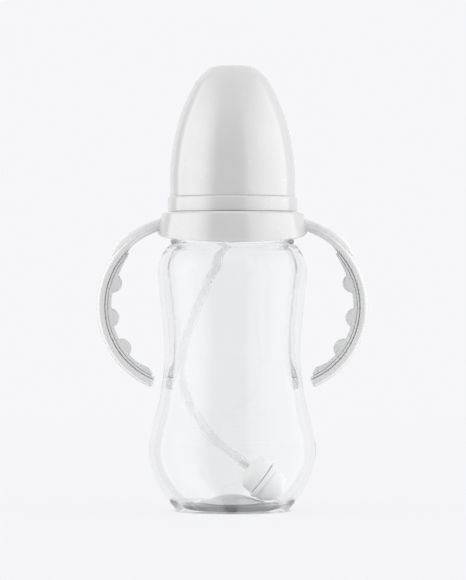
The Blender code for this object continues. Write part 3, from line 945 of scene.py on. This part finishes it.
def make_hose(look):
    """A thin-walled silicone tube along its route in the XZ plane, open at both ends."""
    route = [Vector(p) for p in smoothed(HOSE_ROUTE, HOSE_STEPS)]
    shape = bmesh.new()
    rows = []
    for i, here in enumerate(route):
        before = route[max(i - 1, 0)]
        after = route[min(i + 1, len(route) - 1)]
        along = (after - before).normalized()
        across = Vector((-along.y, 0.0, along.x))
        walls = []
        for radius in (HOSE_R, HOSE_BORE_R):
            wall = []
            for k in range(HOSE_FACETS):
                turn = math.tau * k / HOSE_FACETS
                offset = across * math.cos(turn) + Vector((0.0, 1.0, 0.0)) * math.sin(turn)
                wall.append(shape.verts.new(Vector((here.x, 0.0, here.y)) + offset * radius))
            walls.append(wall)
        rows.append(walls)
    for k in range(HOSE_FACETS):
        m = (k + 1) % HOSE_FACETS
        for row, following in zip(rows, rows[1:]):
            for wall, onward in zip(row, following):
                shape.faces.new((wall[k], wall[m], onward[m], onward[k]))
        for outer, bore in (rows[0], rows[-1]):
            shape.faces.new((outer[k], outer[m], bore[m], bore[k]))
    return finished("straw_tube_hose", shape, look)


def weight_place():
    """Turns +Z into the weight's axis, from the middle of its top."""
    turn = Vector((0.0, 0.0, 1.0)).rotation_difference(WEIGHT_AXIS)
    return Matrix.Translation(WEIGHT_TOP) @ turn.to_matrix().to_4x4()


def make_weight_upper(look, place):
    barb = [(0.5, -4.0), (0.8, -4.0), (1.0, -3.4), (0.86, -2.6), (1.0, -2.3), (0.86, -1.5)]
    barb += [(1.0, -1.2), (0.95, -0.2)]
    outline = [*barb, (1.15, 0.0), (3.3, 0.0), *arc(3.3, 4.2, 4.2, -84, 0, 14), (7.5, 7.05)]
    outline += [(7.38, 7.2), (6.1, 7.2), (6.1, 9.3), (6.0, 9.4), (5.3, 9.4), (5.2, 9.3)]
    outline += [(5.2, 7.4), *reversed(arc(3.3, 4.2, 2.9, -70, 0, 8)), (2.6, 1.3), (0.5, 1.3)]
    return lathe("weight_shell_upper_moulding", outline, look, SMALL_FACETS, place)


def make_weight_lower(look, place):
    flange = [(6.4, 7.6), (6.5, 7.5), (7.85, 7.5), (8.02, 7.56), (8.1, 7.75), (8.1, 9.15)]
    flange += [(8.02, 9.35), (7.85, 9.42), (7.4, 9.45), (7.3, 9.55), (7.3, 9.75), (7.5, 9.85)]
    body = smoothed(((7.5, 11.4), (7.1, 13.4), (6.1, 15.6), (4.4, 17.3), (2.6, 17.9)), 5)
    inner = smoothed(((1.2, 16.6), (3.4, 16.4), (5.4, 14.4), (6.4, 11.6)), 4)
    outline = [*flange, *body, (1.5, 17.9), (1.2, 17.7), *inner]
    return lathe("weight_shell_lower_moulding", outline, look, SMALL_FACETS, place)


def make_weight_core(look, place):
    corners = [(1.6, 2.4, 0.2), (4.6, 2.4, 0.1), (4.9, 2.8, 0.1), (4.9, 14.6, 0.1)]
    corners += [(4.5, 15.0, 0.1), (1.6, 15.0, 0.2)]
    return lathe("weight_core_sleeve", rounded(corners), look, SMALL_FACETS, place)


def make_pieces():
    # The head and the arms are one white plastic. The head's copy is darker and the arms' copy
    # lighter: painted shade and light to suit how the light falls on each.
    head_plastic_painted_darker = white_plastic("white_plastic", (0.53, 0.53, 0.532), (0.56, 0.56, 0.559), 0.000008)
    arm_plastic_painted_lighter = white_plastic("arm_plastic_painted_lighter", (0.66, 0.66, 0.662), (0.69, 0.69, 0.689), 0.0)
    grip = rubber("soft_grip", (0.6, 0.6, 0.603), (0.63, 0.63, 0.633), 0.5)
    pad = rubber("soft_pad", (0.76, 0.76, 0.762), (0.79, 0.79, 0.792), 0.42)
    teat_rubber = silicone("teat_silicone", (0.86, 0.86, 0.84), 0.3, 0.3, 0.00002)
    tube_rubber = hose_rubber()
    shell = shell_plastic()
    place = weight_place()
    stand_for(make_bottle(clear_glass()), "bottle_body")
    # Painted shade: a grey body inside the glass floor stands for the shade seen through the foot.
    core = make_painted_base_shade(painted_base_shade_material())
    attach(core, BODY_OF["bottle_body"])
    collar = stand_for(make_collar(head_plastic_painted_darker), "screw_collar")
    cap = stand_for(make_cap(head_plastic_painted_darker), "travel_cap")
    ring = stand_for(make_handle_ring(head_plastic_painted_darker), "handle_ring")
    for side, hand in ((-1, "left"), (1, "right")):
        stand_for(make_arm(side, hand, arm_plastic_painted_lighter), f"handle_arm_{hand}")
        stand_for(make_grip(side, hand, grip), f"grip_insert_{hand}")
        stand_for(make_pad(side, hand, pad), f"thumb_pad_{hand}")
    teat = stand_for(make_teat(teat_rubber), "teat")
    plug = stand_for(make_adaptor(shell), "straw_adaptor")
    seal = stand_for(make_seal(teat_rubber), "adaptor_seal")
    # The glass doesn't refract or mirror the head, which would show as a grey band in the neck.
    for piece in (collar, cap, ring, teat, plug, seal):
        piece.visible_transmission = False
        piece.visible_glossy = False
    tube = stand_for(make_hose(tube_rubber), "straw_tube")
    weight = [
        stand_for(make_weight_upper(shell, place), "weight_shell_upper"),
        stand_for(make_weight_lower(shell, place), "weight_shell_lower"),
        stand_for(make_weight_core(turned_steel(), place), "weight_core"),
    ]
    # The steel doesn't show through its shell.
    weight[-1].visible_transmission = False


# ---------------------------------------------------------------- stage

BACKGROUND = (0.922, 0.922, 0.939)
BACKDROP = 0.86
FRONT = 0.35
CEILING = 1.0
CEILING_FADE = (0.3, 0.95)
RAMP_TOP = 3.0

# The floor: its radius in millimetres, then where it changes with the distance from its middle
# in metres.
FLOOR_R = 1300.0
# Painted contact shadow: the floor's colour is dark out to this edge under the bottle's foot.
PAINTED_SHADOW_EDGE = (0.0225, 0.026)
PAINTED_SHADOW_TONE = (0.16, 0.16, 0.16, 1.0)
FLOOR_TONE = (0.75, 0.75, 0.764, 1.0)
# Outside this edge the floor glows with the background colour, which washes out the bottle's shadow.
GLOW_EDGE = (0.019, 0.028)
GLOW_SHARE = 0.8
FLOOR_FADE = (0.3, 1.2)

CAMERA_PLACE = (0.00026, -1.496, 0.0943)
LENS = 217.3
SENSOR_WIDTH = 36.0
BOUNCES = 32
MOST_BOUNCES = 40

# What the surroundings give off by the angle round the bottle, in degrees from the camera.
SURROUNDINGS = (
    (-180, BACKDROP),
    (-140, BACKDROP),
    (-134, 0.5),
    (-122, 0.5),
    (-115, 1.95),
    (-101, 2.05),
    (-82, 2.75),
    (-58, 2.8),
    (-46, 1.9),
    (-31, FRONT),
    (20, FRONT),
    (29, 1.55),
    (44, 1.95),
    (60, 2.5),
    (80, 2.5),
    (101, 2.25),
    (115, 2.1),
    (122, 1.0),
    (134, 1.0),
    (140, BACKDROP),
    (180, BACKDROP),
)


def math_node(tree, operation, *values):
    node = tree.nodes.new("ShaderNodeMath")
    node.operation = operation
    for i, value in enumerate(values):
        if isinstance(value, (int, float)):
            node.inputs[i].default_value = value
        else:
            tree.links.new(value, node.inputs[i])
    return node.outputs[0]


def mixed(tree, share, first, second):
    """A blend of two numbers or sockets."""
    node = tree.nodes.new("ShaderNodeMix")
    node.data_type = "FLOAT"
    tree.links.new(share, node.inputs["Factor"])
    for socket, value in ((node.inputs["A"], first), (node.inputs["B"], second)):
        if isinstance(value, (int, float)):
            socket.default_value = value
        else:
            tree.links.new(value, socket)
    return node.outputs["Result"]


def stepped(tree, value, low, high):
    node = tree.nodes.new("ShaderNodeMapRange")
    node.interpolation_type = "SMOOTHSTEP"
    node.inputs["From Min"].default_value = low
    node.inputs["From Max"].default_value = high
    tree.links.new(value, node.inputs["Value"])
    return node.outputs["Result"]


def make_world():
    """A pale studio: softboxes on both sides, a bright backdrop and a darker front, which only
    reflections and diffuse light meet. Camera and refracted rays see the plain background."""
    world = bpy.data.worlds.new("studio")
    bpy.context.scene.world = world
    world.use_nodes = True
    tree = world.node_tree
    tree.nodes.clear()
    split = tree.nodes.new("ShaderNodeSeparateXYZ")
    place = tree.nodes.new("ShaderNodeTexCoord")
    tree.links.new(place.outputs["Generated"], split.inputs["Vector"])
    ahead = math_node(tree, "MULTIPLY", split.outputs["Y"], -1.0)
    turn = math_node(tree, "ARCTAN2", split.outputs["X"], ahead)
    share = math_node(tree, "MULTIPLY_ADD", turn, 1.0 / math.tau, 0.5)
    ramp = tree.nodes.new("ShaderNodeValToRGB")
    tree.links.new(share, ramp.inputs["Fac"])
    stops = ramp.color_ramp.elements
    while len(stops) > 1:
        stops.remove(stops[-1])
    for i, (degrees, value) in enumerate(SURROUNDINGS):
        position = degrees / 360 + 0.5
        stop = stops[0] if i == 0 else stops.new(position)
        stop.position = position
        stop.color = (*[value / RAMP_TOP] * 3, 1.0)
    around = math_node(tree, "MULTIPLY", ramp.outputs["Color"], RAMP_TOP)
    above = mixed(tree, stepped(tree, split.outputs["Z"], *CEILING_FADE), around, CEILING)
    studio = tree.nodes.new("ShaderNodeBackground")
    tree.links.new(above, studio.inputs["Color"])
    seen = tree.nodes.new("ShaderNodeBackground")
    seen.inputs["Color"].default_value = (*BACKGROUND, 1.0)
    path = tree.nodes.new("ShaderNodeLightPath")
    mix = tree.nodes.new("ShaderNodeMixShader")
    output = tree.nodes.new("ShaderNodeOutputWorld")
    plain = math_node(
        tree, "MAXIMUM", path.outputs["Is Camera Ray"], path.outputs["Is Transmission Ray"]
    )
    tree.links.new(plain, mix.inputs["Fac"])
    tree.links.new(studio.outputs["Background"], mix.inputs[1])
    tree.links.new(seen.outputs["Background"], mix.inputs[2])
    tree.links.new(mix.outputs["Shader"], output.inputs["Surface"])


def make_floor():
    """A pale matt disc with a painted contact shadow: its colour is dark under the bottle's foot.
    Away from the foot it glows with the background colour, which washes out the bottle's shadow
    there, and it fades into the background so that no horizon shows."""
    shape = bmesh.new()
    bmesh.ops.create_circle(shape, cap_ends=True, segments=SMALL_FACETS, radius=FLOOR_R)
    made, tree, shader = new_material("floor")
    shader.inputs["Roughness"].default_value = 0.9
    shader.inputs["Specular IOR Level"].default_value = 0.0
    centre = tree.nodes.new("ShaderNodeVectorMath")
    centre.operation = "LENGTH"
    tree.links.new(texture_place(tree), centre.inputs[0])
    away = centre.outputs["Value"]
    # Painted contact shadow: the floor's colour darkens under the bottle's foot.
    tone = tree.nodes.new("ShaderNodeMix")
    tone.data_type = "RGBA"
    tone.inputs["A"].default_value = PAINTED_SHADOW_TONE
    tone.inputs["B"].default_value = FLOOR_TONE
    tree.links.new(stepped(tree, away, *PAINTED_SHADOW_EDGE), tone.inputs["Factor"])
    tree.links.new(tone.outputs["Result"], shader.inputs["Base Color"])
    glow = tree.nodes.new("ShaderNodeEmission")
    glow.inputs["Color"].default_value = (*BACKGROUND, 1.0)
    lit = tree.nodes.new("ShaderNodeMixShader")
    share = math_node(tree, "MULTIPLY", stepped(tree, away, *GLOW_EDGE), GLOW_SHARE)
    tree.links.new(share, lit.inputs["Fac"])
    tree.links.new(shader.outputs["BSDF"], lit.inputs[1])
    tree.links.new(glow.outputs["Emission"], lit.inputs[2])
    clear = tree.nodes.new("ShaderNodeBsdfTransparent")
    mix = tree.nodes.new("ShaderNodeMixShader")
    tree.links.new(stepped(tree, away, *FLOOR_FADE), mix.inputs["Fac"])
    tree.links.new(lit.outputs["Shader"], mix.inputs[1])
    tree.links.new(clear.outputs["BSDF"], mix.inputs[2])
    tree.links.new(mix.outputs["Shader"], tree.nodes["Material Output"].inputs["Surface"])
    floor = finished("floor", shape, made)
    floor.visible_glossy = False


def make_camera():
    """A long lens, level, just under half the bottle's height and square to its handles."""
    camera = bpy.data.objects.new("camera", bpy.data.cameras.new("camera"))
    bpy.context.scene.collection.objects.link(camera)
    camera.data.lens = LENS
    camera.data.sensor_width = SENSOR_WIDTH
    camera.location = CAMERA_PLACE
    camera.rotation_euler = (math.pi / 2, 0.0, 0.0)
    camera.data.clip_start = 0.05
    camera.data.clip_end = 20.0
    bpy.context.scene.camera = camera


def main():
    scene = bpy.context.scene
    scene.view_settings.view_transform = "Standard"
    scene.cycles.caustics_refractive = False
    scene.cycles.caustics_reflective = False
    scene.cycles.max_bounces = MOST_BOUNCES
    scene.cycles.glossy_bounces = BOUNCES
    scene.cycles.transmission_bounces = BOUNCES
    scene.cycles.transparent_max_bounces = BOUNCES
    make_camera()
    make_world()
    make_floor()
    make_pieces()


main()
